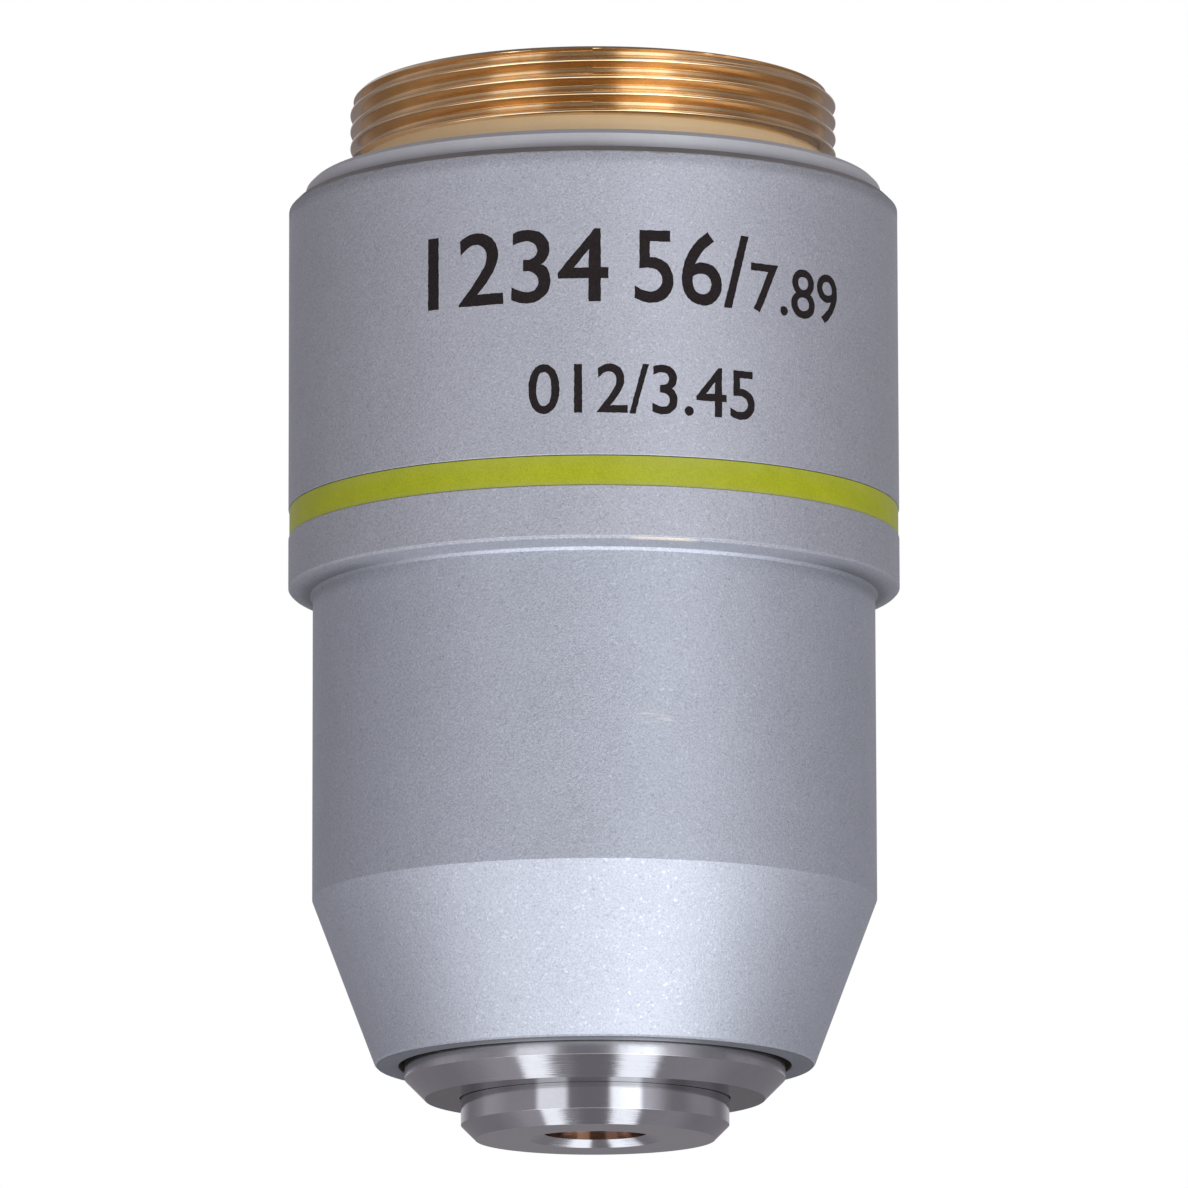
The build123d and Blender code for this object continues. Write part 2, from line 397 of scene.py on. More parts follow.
def silver_paint(name, colour, settings, wear_and_light):
    """Fine-grained silver paint.

    wear_and_light(surface) gives the shares that are dull, golden, rubbed near white and darkened.
    The near-white share is partly a painted highlight; the darkened share is painted shade, with
    some dust.
    """
    grain_contrast, cloud_contrast, fleck_contrast, shade_and_dust_contrast = 0.91, 0.12, 0.14, 0.6
    s = Surface(name)
    grain = s.noise(s.place, 1 / settings.paint_grain, roughness=0.65)
    cells = {"Vector": s.place, "Scale": 0.8 / settings.paint_grain}
    flake = s.add("ShaderNodeTexVoronoi", {"feature": "F1"}, cells, out=1)
    flake_tone, flake_turn, _ = s.parts(flake)
    sparkle = flake_tone.ramp(0.93, 1.0)
    speck = flake_turn.ramp(0.955, 1.0)
    cloud = s.noise(s.place, 0.5, detail=4.0, roughness=0.6)
    bare, gold, rubbed_and_highlight, shade_and_dust = (share.clamped() for share in wear_and_light(s))
    tone = 1.0 + (grain - 0.5) * grain_contrast + (cloud - 0.5) * cloud_contrast
    # The shade_and_dust share darkens the paint: painted shade at the step and the lip, and dust
    # below the top bevel.
    tone = (tone + (sparkle - speck) * fleck_contrast) * (1.0 - shade_and_dust * shade_and_dust_contrast)
    dull = s.mix(cloud, (0.13, 0.125, 0.125), (0.25, 0.23, 0.22))
    brass = s.mix(cloud, (0.95, 0.80, 0.58), (1.0, 0.94, 0.82))
    rubbed = (0.92, 0.93, 0.96)
    # The rubbed_and_highlight share turns the paint near white: rubbed paint, and a painted
    # highlight along the front of the upper sleeve's foot.
    base = s.mix(rubbed_and_highlight, s.mix(bare, s.toned(colour, tone), dull), rubbed)
    base = s.mix(gold, base, brass)
    rough = 0.56 - sparkle * 0.08 + (grain - 0.5) * 0.14 - (gold + rubbed_and_highlight) * 0.2
    relief = grain * 0.85 + flake_tone * 0.15
    return s.finish(
        Base_Color=base,
        Metallic=(0.72 + gold * 0.25 - bare * 0.3).clamped(),
        Roughness=rough.clamped(),
        Normal=s.bump(relief, 0.013),
    )


def upper_wear_and_light(s):
    """Wear of the upper sleeve: bare top bevel with dust below it, a golden rubbed spot on the
    lower edge; a painted highlight along the front of that edge, and painted shade on the step's
    underside at the sides.
    """
    drawn = s.joined(s.turn * 16.0, s.z * 2.2, 3.0)
    ragged = s.noise(drawn, 1.0, detail=4.0, roughness=0.75)
    edge = s.z + (ragged - 0.45) * 0.35
    bare = edge.ramp(TOP_BEVEL_Z - 0.05, TOP_BEVEL_Z + 0.01)
    dust = edge.ramp(TOP_BEVEL_Z - 0.66, TOP_BEVEL_Z - 0.11) * 0.4
    foot = s.z.window(STEP_Z - 0.025, STEP_Z + 0.015, 0.01)
    gold = s.turn.window(0.13, 0.33, 0.03) * s.z.window(STEP_Z - 0.04, STEP_Z + 0.03, 0.015)
    # Broken near-white line along the front of the lower edge: partly rubbed paint, partly a
    # painted highlight.
    dashes = s.noise(s.joined(s.turn * 110.0, 0.0, 0.0), 1.0, detail=3.0).ramp(0.42, 0.62)
    rubbed_and_highlight = (dashes * 0.5 + 0.15) * foot * s.turn.window(-0.75, 0.8, 0.25) * 0.7
    # Painted shade on the step's underside at the sides, stronger towards the cone sleeve.
    sides = 1.0 - s.turn.window(-0.86, 0.86, 0.25)
    inward = s.radius.ramp(CONE_SLEEVE_R + 0.11, CONE_SLEEVE_R + 0.86, 0.6, 0.0)
    under = s.z.ramp(STEP_Z - 0.04, STEP_Z + 0.04, 1.0, 0.0) * sides * (0.3 + inward)
    return bare, gold, rubbed_and_highlight, under + dust


def cone_wear_and_shade(s):
    """Wear of the cone sleeve: rubbed mark and rubbed edge of the lip; painted shade under the lip
    and at the sides below the step.
    """
    ragged = s.noise(s.place, 3.5, detail=4.0, roughness=0.7)
    drawn = s.joined(s.turn * 14.0, s.z * 9.0, 1.0)
    streaks = s.noise(drawn, 1.0, detail=3.0, roughness=0.6).ramp(0.5, 0.66)
    mark = s.z.window(-24.5, -24.05, 0.12) * s.turn.window(0.15, 0.29, 0.04) * streaks
    foot = s.z.window(CONE_FOOT_Z + 0.02, CONE_FOOT_Z + 0.17, 0.05) * ragged.ramp(0.62, 0.78)
    # Painted shade: on the underside of the lip, and on the wall just below the step at the sides.
    under = s.z.ramp(CONE_FOOT_Z + 0.02, CONE_FOOT_Z + 0.05, 1.0, 0.0)
    sides = 1.0 - s.turn.window(-0.75, 0.75, 0.5)
    shade_and_dust = under + s.z.ramp(STEP_Z - 1.0, STEP_Z - 0.4) * sides * 0.35
    return foot * 0.4, mark * 0.22, foot * 0.15, shade_and_dust


def bead_shade(s):
    """Painted shade at the sides of the bead of lacquer, which makes it duller and darker there;
    the front is left plain.
    """
    shade_and_dust = 1.0 - s.turn.window(-0.6, 0.75, 0.45)
    return shade_and_dust * 0.2, shade_and_dust * 0.0, shade_and_dust * 0.0, shade_and_dust * 0.85


def ring_paint(name, colour):
    """Satin yellow-green filling of the ring, a little dirty along its edges."""
    s = Surface(name)
    cloud = s.noise(s.place, 1.2, detail=4.0, roughness=0.6)
    grain = s.noise(s.place, 14.0)
    top_edge = s.z.ramp(RING_TOP_Z - 0.66, RING_TOP_Z - 0.04) * 0.5
    edges = top_edge + s.z.ramp(RING_LOW_Z + 0.03, RING_LOW_Z + 0.25, 1.0, 0.0)
    tone = 0.93 + (cloud - 0.5) * 0.25 + (grain - 0.5) * 0.5
    dirt = (0.25, 0.24, 0.12)
    base = s.mix((edges * cloud * 0.5).clamped(), s.toned(colour, tone), dirt)
    return s.finish(
        Base_Color=base,
        Roughness=0.38 + cloud * 0.14,
        Normal=s.bump(grain, 0.004),
        Specular_IOR_Level=0.35,
        Coat_Weight=0.1,
        Coat_Roughness=0.25,
    )


def turned_metal(name, colour, stain, roughness, marks, mottle, depth, metallic=1.0, coat=0.0):
    """Metal turned on a lathe: fine rings, a mottled stain, and roughness that follows both.

    marks is the number of rings a millimetre, mottle the share of the stain, and depth the height
    of the rings.
    """
    s = Surface(name)
    rings = s.turning_marks(marks, waver=0.6, detail=3.0, roughness=0.6)
    cloud = s.noise(s.place, 1.1, detail=5.0, roughness=0.65)
    speck = s.noise(s.place, 6.0, detail=4.0, roughness=0.7).ramp(0.56, 0.74)
    share = (cloud.ramp(0.35, 0.75) * 0.6 + speck) * mottle
    base = s.mix(share.clamped(), colour, stain)
    rough = roughness + (rings - 0.5) * 0.08 + share * 0.12
    return s.finish(
        Base_Color=base,
        Metallic=metallic,
        Roughness=rough.clamped(),
        Normal=s.bump(rings, depth),
        Coat_Weight=coat,
        Coat_IOR=2.3,
        Coat_Roughness=0.1,
    )


def black_finish(name):
    """Matt black on brass, rubbed to brown in places."""
    s = Surface(name)
    cloud = s.noise(s.place, 1.5, detail=5.0, roughness=0.65)
    rings = s.turning_marks(9.0, waver=0.5, detail=2.0)
    rub = cloud.ramp(0.58, 0.8) * 0.35
    base = s.mix(rub, (0.022, 0.021, 0.023), (0.16, 0.11, 0.06))
    return s.finish(Base_Color=base, Roughness=0.55 + cloud * 0.2, Normal=s.bump(rings, 0.004))


def coated_glass(name, tint, rim_r):
    """Polished glass with a thin coating and a blackened rim."""
    s = Surface(name)
    rim = s.radius.ramp(rim_r - 0.06, rim_r - 0.02)
    haze = s.noise(s.place, 2.0, detail=4.0, roughness=0.6)
    polished = {
        "Base Color": s.mix(rim, tint, (0.01, 0.01, 0.01)),
        "Roughness": 0.02 + haze * 0.03,
        "Transmission Weight": 1.0,
        "IOR": 1.52,
        "Coat Weight": 0.6,
        "Coat Tint": (0.55, 0.35, 1.0),
    }
    blackened = {"Base Color": (0.01, 0.01, 0.011), "Roughness": 0.7}
    glass = s.add("ShaderNodeBsdfPrincipled", {}, polished)
    black = s.add("ShaderNodeBsdfPrincipled", {}, blackened)
    shader = s.add("ShaderNodeMixShader", {}, {0: rim, 1: glass, 2: black})
    s.add("ShaderNodeOutputMaterial", {}, {0: shader})
    return s.material


def printing_ink(name):
    """Brownish black ink, thin in places."""
    s = Surface(name)
    grain = s.noise(s.place, 12.0, detail=3.0, roughness=0.6)
    base = s.mix(grain.ramp(0.35, 0.8), (0.009, 0.006, 0.006), (0.020, 0.014, 0.014))
    return s.finish(
        Base_Color=base,
        Roughness=0.7 + grain * 0.2,
        Normal=s.bump(grain, 0.004),
        Specular_IOR_Level=0.12,
    )


# Thread


def thread_tree(name):
    """Geometry nodes that wind a 55 degree thread between two end faces.

    They bend a grid whose rows follow the helix.
    """
    half_crest, flank_fall = 1 / 12, 3.0  # in pitches, and in depths for each pitch
    crest_rounding, root_rounding = 0.22, 0.05
    end_hold = 0.02  # from the edge of the end face in to the row that keeps it crisp
    tree = bpy.data.node_groups.new(name, "GeometryNodeTree")
    g = Graph(tree)
    tree.interface.new_socket("Geometry", in_out="OUTPUT", socket_type="NodeSocketGeometry")
    sizes = ("Pitch", "Start", "Crest Radius", "Depth", "Low", "High")
    sizes += ("End Bevel", "Foot Radius", "Bore Radius")
    for label in sizes:
        tree.interface.new_socket(label, in_out="INPUT", socket_type="NodeSocketFloat")
    for label in ("Steps", "Rows"):
        tree.interface.new_socket(label, in_out="INPUT", socket_type="NodeSocketInt")
    tree.interface.new_socket("Material", in_out="INPUT", socket_type="NodeSocketMaterial")
    entry = tree.nodes.new("NodeGroupInput")
    inputs = {output.name: Wire(g, output) for output in entry.outputs if output.name}
    pitch, crest, low, high = (inputs[label] for label in ("Pitch", "Crest Radius", "Low", "High"))
    points = {"Vertices X": inputs["Steps"] + 1, "Vertices Y": inputs["Rows"] + 1}
    grid = g.add("GeometryNodeMeshGrid", {}, {"Size X": 1.0, "Size Y": 1.0, **points})
    x, y, _ = g.parts(g.add("GeometryNodeInputPosition"))
    across, along = x + 0.5, y + 0.5

    # A row climbs by one pitch in a turn, and stops at the end faces
    climb = low - pitch + along * (high - low + pitch * 2) + across * pitch
    z = climb.math("MINIMUM", high).math("MAXIMUM", low)

    # The fall is 0 on the crest and 1 in the root
    turns = (z - low) / pitch - across + inputs["Start"]
    from_crest = (turns.math("FLOORED_MODULO", 1.0) - 0.5).math("ABSOLUTE")
    fall = (from_crest - half_crest) * flank_fall
    fall = fall.math("SMOOTH_MAX", 0.0, crest_rounding).math("SMOOTH_MIN", 1.0, root_rounding)
    bevel = crest - inputs["End Bevel"] + (high - z)
    r = (crest - inputs["Depth"] * fall).math("MINIMUM", bevel)

    # The first row goes in to the relief, and the last to the bore
    half_row = 0.5 / inputs["Rows"]
    r = r - along.math("GREATER_THAN", 1 - 3 * half_row) * end_hold
    r = r + (inputs["Foot Radius"] - r) * along.math("LESS_THAN", half_row)
    r = r + (inputs["Bore Radius"] - r) * along.math("GREATER_THAN", 1 - half_row)

    angle = across * (2 * math.pi)
    spot = g.scaled(g.joined(r * angle.math("SINE"), r * angle.math("COSINE") * -1, z), MM)
    wound = g.add("GeometryNodeSetPosition", {}, {"Geometry": grid, "Position": spot})
    merge = {"Geometry": wound, "Distance": MERGE_DISTANCE * MM}
    closed = g.add("GeometryNodeMergeByDistance", {}, merge)
    real = g.add("GeometryNodeRealizeInstances", {}, {"Geometry": closed})
    coated = {"Geometry": real, "Material": inputs["Material"]}
    done = g.add("GeometryNodeSetMaterial", {}, coated)
    g.feed(tree.nodes.new("NodeGroupOutput").inputs[0], done)
    return tree


def wound_thread(values, material):
    """Plain mesh of the thread tree with these input values."""
    holder = placed("thread_holder", bpy.data.meshes.new("thread_holder"))
    modifier = holder.modifiers.new("Thread", "NODES")
    modifier.node_group = thread_tree("Objective thread")
    for item in modifier.node_group.interface.items_tree:
        if item.in_out == "INPUT":
            value = material if item.name == "Material" else values[item.name]
            modifier[item.identifier] = value
    mesh = evaluated_mesh(holder)
    bpy.data.objects.remove(holder)
    return mesh


# Sizes and colours that a user would change


def length(name, description, default):
    return FloatProperty(
        name=name, description=description, default=default * MM, unit="LENGTH", precision=5
    )


def colour(name, description, default):
    return FloatVectorProperty(
        name=name, description=description, default=default, subtype="COLOR", size=3, min=0, max=1
    )


class ObjectiveSettings(bpy.types.PropertyGroup):
    thread_pitch: length("Thread pitch", "Advance of the thread in one turn", 0.7056)
    thread_depth: length("Thread depth", "From crest to root, 0.64 of the pitch", 0.452)
    edge_softness: length("Edge softness", "Radius of the broken edges of turned pieces", 0.03)
    grain: length("Paint grain", "Size of a grain of the silver paint", 0.075)
    figure_height: length("Large figures", "Height of the large figures", 3.06)
    small_figure_height: length("Small figures", "Height of the small figures", 2.06)
    upper_paint: colour("Upper paint", "Silver paint of the upper sleeve", (0.37, 0.375, 0.41))
    lower_paint: colour("Lower paint", "Silver paint of the cone sleeve", (0.365, 0.378, 0.42))
    ring: colour("Ring", "Colour of the magnification ring", (0.285, 0.305, 0.003))
    brass: colour("Brass", "Bare brass of the thread", (0.76, 0.48, 0.18))
    steel: colour("Steel", "Polished steel of the nose", (0.60, 0.60, 0.63))
    strip_strength: FloatProperty(
        name="Strip light", description="Brightness of the strips", default=1.31
    )

    @property
    def paint_grain(self):
        return self.grain / MM


class ObjectiveOperator(bpy.types.Operator):
    """Base of the operators that finish one group of pieces."""

    bl_options = {"REGISTER"}

    def execute(self, context):
        self.make(context.scene.objective)
        return {"FINISHED"}


class OBJECTIVE_OT_body_tube(ObjectiveOperator):
    """Wind the mounting thread and build the body tube with its finishes"""

    bl_idname = "objective.body_tube"
    bl_label = "Body tube"

    THREAD, RELIEF, FLANGE, BORE = range(4)
    THREAD_START = 0.34  # turn of the first crest, as a share of a full turn
    THREAD_ROWS = 222
    FLANGE_LOW_Z, FLANGE_TOP_Z = -0.85, 0.01  # between these the finish is the flange's
    BORE_MARGIN, RELIEF_MARGIN = 0.02, 0.002

    def make(self, settings):
        outline = outline_of("body_tube")
        high = max(z for r, z in outline)
        end_face = [r for r, z in outline if z == high]
        bore_r, bevel_r = min(end_face), max(end_face)
        crest = max(r for r, z in outline if 0 < z < high)
        low, foot_r = min((z, r) for r, z in outline if 0 < z < high)
        finishes = self.finishes(settings)
        values = {
            "Pitch": settings.thread_pitch / MM,
            "Crest Radius": crest,
            "Depth": settings.thread_depth / MM,
            "Low": low,
            "Start": self.THREAD_START,
            "High": high,
            "End Bevel": crest - bevel_r,
            "Foot Radius": foot_r,
            "Bore Radius": bore_r,
            "Steps": TURN_STEPS,
            "Rows": self.THREAD_ROWS,
        }
        thread = wound_thread(values, finishes[self.THREAD])
        chain = self.below_thread(outline, (foot_r, low), (bore_r, high))
        soft = settings.edge_softness / MM
        bm = turned_mesh(softened(chain, soft, closed=False), closed=False)
        bm.from_mesh(thread)
        bpy.data.meshes.remove(thread)

        def finish_at(r, z, outward):
            if r < bore_r + self.BORE_MARGIN or z < self.FLANGE_LOW_Z:
                return self.BORE
            if z < self.FLANGE_TOP_Z:
                return self.FLANGE
            return self.RELIEF if r < foot_r + self.RELIEF_MARGIN and z < low else self.THREAD

        stands_for(piece_from(bm, "threaded_body_tube", finishes, finish_at), "body_tube")

    def finishes(self, settings):
        """Materials in the order of the names at the head of the class."""
        return [
            turned_metal(
                "turned_brass",
                colour=tuple(settings.brass),
                stain=(0.52, 0.31, 0.12),
                roughness=0.18,
                marks=14.0,
                mottle=0.6,
                depth=0.0025,
                coat=1.0,
            ),
            turned_metal(
                "satin_brass",
                colour=(0.94, 0.70, 0.40),
                stain=(0.80, 0.57, 0.32),
                roughness=0.55,
                marks=10.0,
                mottle=0.3,
                depth=0.006,
                metallic=0.2,
            ),
            turned_metal(
                "plated_flange",
                colour=(0.40, 0.40, 0.415),
                stain=(0.33, 0.30, 0.29),
                roughness=0.45,
                marks=12.0,
                mottle=0.35,
                depth=0.005,
                metallic=0.3,
            ),
            black_finish("blackened_bore"),
        ]

    def below_thread(self, outline, foot, mouth):
        """The outline from the thread's foot down and round to the mouth of the bore."""
        start = outline.index(foot)
        chain = outline[start:] + outline[:start]
        if chain[1][1] > foot[1] - 0.01:
            chain = [chain[0]] + chain[:0:-1]
        return chain[: chain.index(mouth) + 1]


class OBJECTIVE_OT_sleeves(ObjectiveOperator):
    """Build the painted sleeves, the magnification ring and the bead of lacquer under the step"""

    bl_idname = "objective.sleeves"
    bl_label = "Painted sleeves and ring"

    LIP_R, LIP_Z, LIP_RADIUS = 8.5, -36.5, 0.1  # outside and below these a corner is the lip's
    CONE_Z, CONE_EDGE_RADIUS = -29.0, 0.05
    JOINT_LOW_Z, JOINT_TOP_Z, JOINT_R = -17.2, -12.0, 11.66  # faces between the two sleeves
    FOOT_BEVEL_LEFT = 0.4  # share of the cone's foot bevel that the paint leaves
    BEAD_SIZE = 0.12
    # The bead's paint is lighter than the sleeves': a painted highlight along the bead.
    BEAD_HIGHLIGHT_PAINT = (0.52, 0.54, 0.60)

    def make(self, settings):
        inside = turned_metal(
            "sleeve_inside",
            colour=(0.20, 0.17, 0.14),
            stain=(0.09, 0.07, 0.06),
            roughness=0.5,
            marks=6.0,
            mottle=0.6,
            depth=0.006,
        )
        upper_paint, lower_paint = tuple(settings.upper_paint), tuple(settings.lower_paint)
        upper = silver_paint("upper_sleeve_paint", upper_paint, settings, upper_wear_and_light)
        lower = silver_paint("cone_sleeve_paint", lower_paint, settings, cone_wear_and_shade)
        ring = ring_paint("ring_yellow_green", tuple(settings.ring))
        made = (
            ("painted_upper_sleeve", "upper_sleeve", [upper, inside], self.unpainted),
            ("painted_cone_sleeve", "cone_sleeve", [lower, inside], self.unpainted),
            ("magnification_ring", "colour_ring", [ring], None),
        )
        for name, node, materials, rule in made:
            outline = outline_of(node)
            if node == "cone_sleeve":
                outline = self.fuller_foot(outline)
            bm = turned_mesh(softened(outline, settings.edge_softness / MM, rounder=self.rounder))
            stands_for(piece_from(bm, name, materials, rule), node)
        self.bead(silver_paint("bead_lacquer", self.BEAD_HIGHLIGHT_PAINT, settings, bead_shade))

    def fuller_foot(self, outline):
        """The cone's outline with most of the bevel at its foot filled by paint."""
        low_z = min(z for r, z in outline)
        foot = max(corner for corner in outline if corner[1] == low_z)
        i = outline.index(foot)
        step = 1 if outline[(i + 1) % len(outline)][0] > foot[0] else -1
        edge, top = outline[(i + step) % len(outline)], outline[(i + 2 * step) % len(outline)]
        slope = (edge[0] - top[0]) / (edge[1] - top[1])
        corner = Vector((edge[0] + slope * (foot[1] - edge[1]), foot[1]))
        filled = list(outline)
        for old in (foot, edge):
            moved = corner + (Vector(old) - corner) * self.FOOT_BEVEL_LEFT
            filled[outline.index(old)] = tuple(moved)
        return filled

    def rounder(self, r, z):
        """The lip of the cone has a well rounded edge, and the cone's top a slight one."""
        if z < self.LIP_Z and r > self.LIP_R:
            return self.LIP_RADIUS
        return self.CONE_EDGE_RADIUS if z < self.CONE_Z else None

    def unpainted(self, r, z, outward):
        """1, which is the dark inside, for bores and the faces between the sleeves."""
        in_joint = self.JOINT_LOW_Z < z < self.JOINT_TOP_Z and r < self.JOINT_R
        return int(outward < -0.6 or in_joint and abs(outward) < 0.6)

    def bead(self, paint):
        """Thin bead of lacquer in the corner where the cone sleeve enters the upper sleeve."""
        r, z, size = CONE_SLEEVE_R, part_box("upper_sleeve")[0].z / MM, self.BEAD_SIZE
        section = [(r - 0.02, z + 0.03), (r - 0.02, z - size), (r + 0.02, z - size * 0.8)]
        section += [(r + size * 0.55, z - size * 0.3), (r + size, z + 0.012), (r + size, z + 0.03)]
        bead = piece_from(turned_mesh(section), "lacquer_bead", [paint])
        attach(bead, BODY)


class OBJECTIVE_OT_nose(ObjectiveOperator):
    """Build the polished lens barrel and nose cell"""

    bl_idname = "objective.nose"
    bl_label = "Polished nose"

    STEEL, BARREL_BORE, UNDERSIDE, BAND = range(4)
    NOSE_STEEL, FRONT_BORE, NOSE_INSIDE = range(3)

    # Where the finishes change: a radius and a height
    BARREL_BORE_EDGE = (6.05, -33.6)
    UNDERSIDE_Z = -38.3
    BAND_EDGE = (7.5, -37.7)
    FRONT_BORE_EDGE = (2.16, -39.8)
    NOSE_INSIDE_EDGE = (3.8, -39.5)

    HOLE_R, HOLE_LENGTH, HOLE_MIDDLE_R = 0.72, 3.0, 7.0

    def make(self, settings):
        steel = turned_metal(
            "polished_steel",
            colour=tuple(settings.steel),
            stain=(0.40, 0.37, 0.35),
            roughness=0.09,
            marks=16.0,
            mottle=0.22,
            depth=0.0015,
        )
        band = turned_metal(
            "barrel_band",
            colour=tuple(settings.steel),
            stain=(0.42, 0.37, 0.33),
            roughness=0.19,
            marks=14.0,
            mottle=0.4,
            depth=0.002,
        )
        # Painted shade: the barrel's underside is made near black.
        under = turned_metal(
            "barrel_underside_painted_shade",
            colour=(0.06, 0.057, 0.06),
            stain=(0.035, 0.03, 0.028),
            roughness=0.15,
            marks=12.0,
            mottle=0.4,
            depth=0.002,
        )
        inner = turned_metal(
            "nose_bore",
            colour=(0.14, 0.075, 0.05),
            stain=(0.06, 0.03, 0.018),
            roughness=0.1,
            marks=9.0,
            mottle=0.6,
            depth=0.002,
        )
        black = black_finish("blackened_barrel")
        soft = settings.edge_softness / MM * 0.3
        bm = turned_mesh(softened(outline_of("lens_barrel"), soft))
        finishes = [steel, black, under, band]
        barrel = piece_from(bm, "polished_barrel", finishes, self.barrel_finish)
        self.drill(barrel)
        stands_for(barrel, "lens_barrel")
        bm = turned_mesh(softened(outline_of("nose_cell"), soft))
        nose = piece_from(bm, "polished_nose", [steel, inner, black], self.nose_finish)
        stands_for(nose, "nose_cell")

    def barrel_finish(self, r, z, outward):
        if r < self.BARREL_BORE_EDGE[0] and z > self.BARREL_BORE_EDGE[1]:
            return self.BARREL_BORE
        if z < self.UNDERSIDE_Z and outward < 0.3:
            return self.UNDERSIDE
        in_band = r > self.BAND_EDGE[0] and z > self.BAND_EDGE[1] and outward > 0.9
        return self.BAND if in_band else self.STEEL

    def nose_finish(self, r, z, outward):
        if r < self.FRONT_BORE_EDGE[0] and z > self.FRONT_BORE_EDGE[1]:
            return self.FRONT_BORE
        inside = r < self.NOSE_INSIDE_EDGE[0] and z > self.NOSE_INSIDE_EDGE[1]
        return self.NOSE_INSIDE if inside else self.NOSE_STEEL

    def drill(self, barrel):
        """Cuts the holes of the centring screws, at the places of the CAD node's screws."""
        low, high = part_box("centring_screws")
        height = (low.z + high.z) / 2
        lie = Matrix.Rotation(math.pi / 2, 4, "Y")
        out = Matrix.Translation((self.HOLE_MIDDLE_R * MM, 0, height))
        radius, depth = self.HOLE_R * MM, self.HOLE_LENGTH * MM
        sizes = {"segments": 48, "radius1": radius, "radius2": radius, "depth": depth}
        bm = bmesh.new()
        for i in range(3):
            place = Matrix.Rotation(2 * math.pi * i / 3, 4, "Z") @ out @ lie
            bmesh.ops.create_cone(bm, cap_ends=True, matrix=place, **sizes)
        drill = placed("drill", mesh_of(bm, "drill"))
        cut = barrel.modifiers.new("Holes", "BOOLEAN")
        cut.operation, cut.solver, cut.object = "DIFFERENCE", "EXACT", drill
        old = barrel.data
        barrel.data = evaluated_mesh(barrel)
        barrel.modifiers.clear()
        bpy.data.objects.remove(drill)
        bpy.data.meshes.remove(old)


class OBJECTIVE_OT_optics(ObjectiveOperator):
    """Finish the lenses, their cells, rings and screws"""

    bl_idname = "objective.optics"
    bl_label = "Lenses and cells"

    def make(self, settings):
        cell = turned_metal(
            "cell_brass",
            colour=(0.62, 0.40, 0.18),
            stain=(0.25, 0.14, 0.05),
            roughness=0.32,
            marks=10.0,
            mottle=0.5,
            depth=0.005,
        )
        screw = turned_metal(
            "screw_steel",
            colour=(0.42, 0.42, 0.44),
            stain=(0.2, 0.17, 0.15),
            roughness=0.35,
            marks=14.0,
            mottle=0.5,
            depth=0.004,
        )
        black = black_finish("blackened_rings")
        for node in ("single_lens_cell", "doublet_cell", "rear_cell", "parfocal_shim"):
            dress(node, cell)
        for node in ("front_lens_ring", "aperture_stop", "stack_ring", "barrel_lock_ring"):
            dress(node, black)
        dress("centring_screws", screw)
        tints = {"crown_glass": (0.93, 0.97, 0.96), "flint_glass": (0.97, 0.95, 0.90)}
        for part in frame["record"]["subparts"]:
            node, slot = part["node"], part["material_slot"]
            if slot in tints:
                rim_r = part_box(node)[1].x / MM
                dress(node, coated_glass(f"{node}_glass", tints[slot], rim_r))


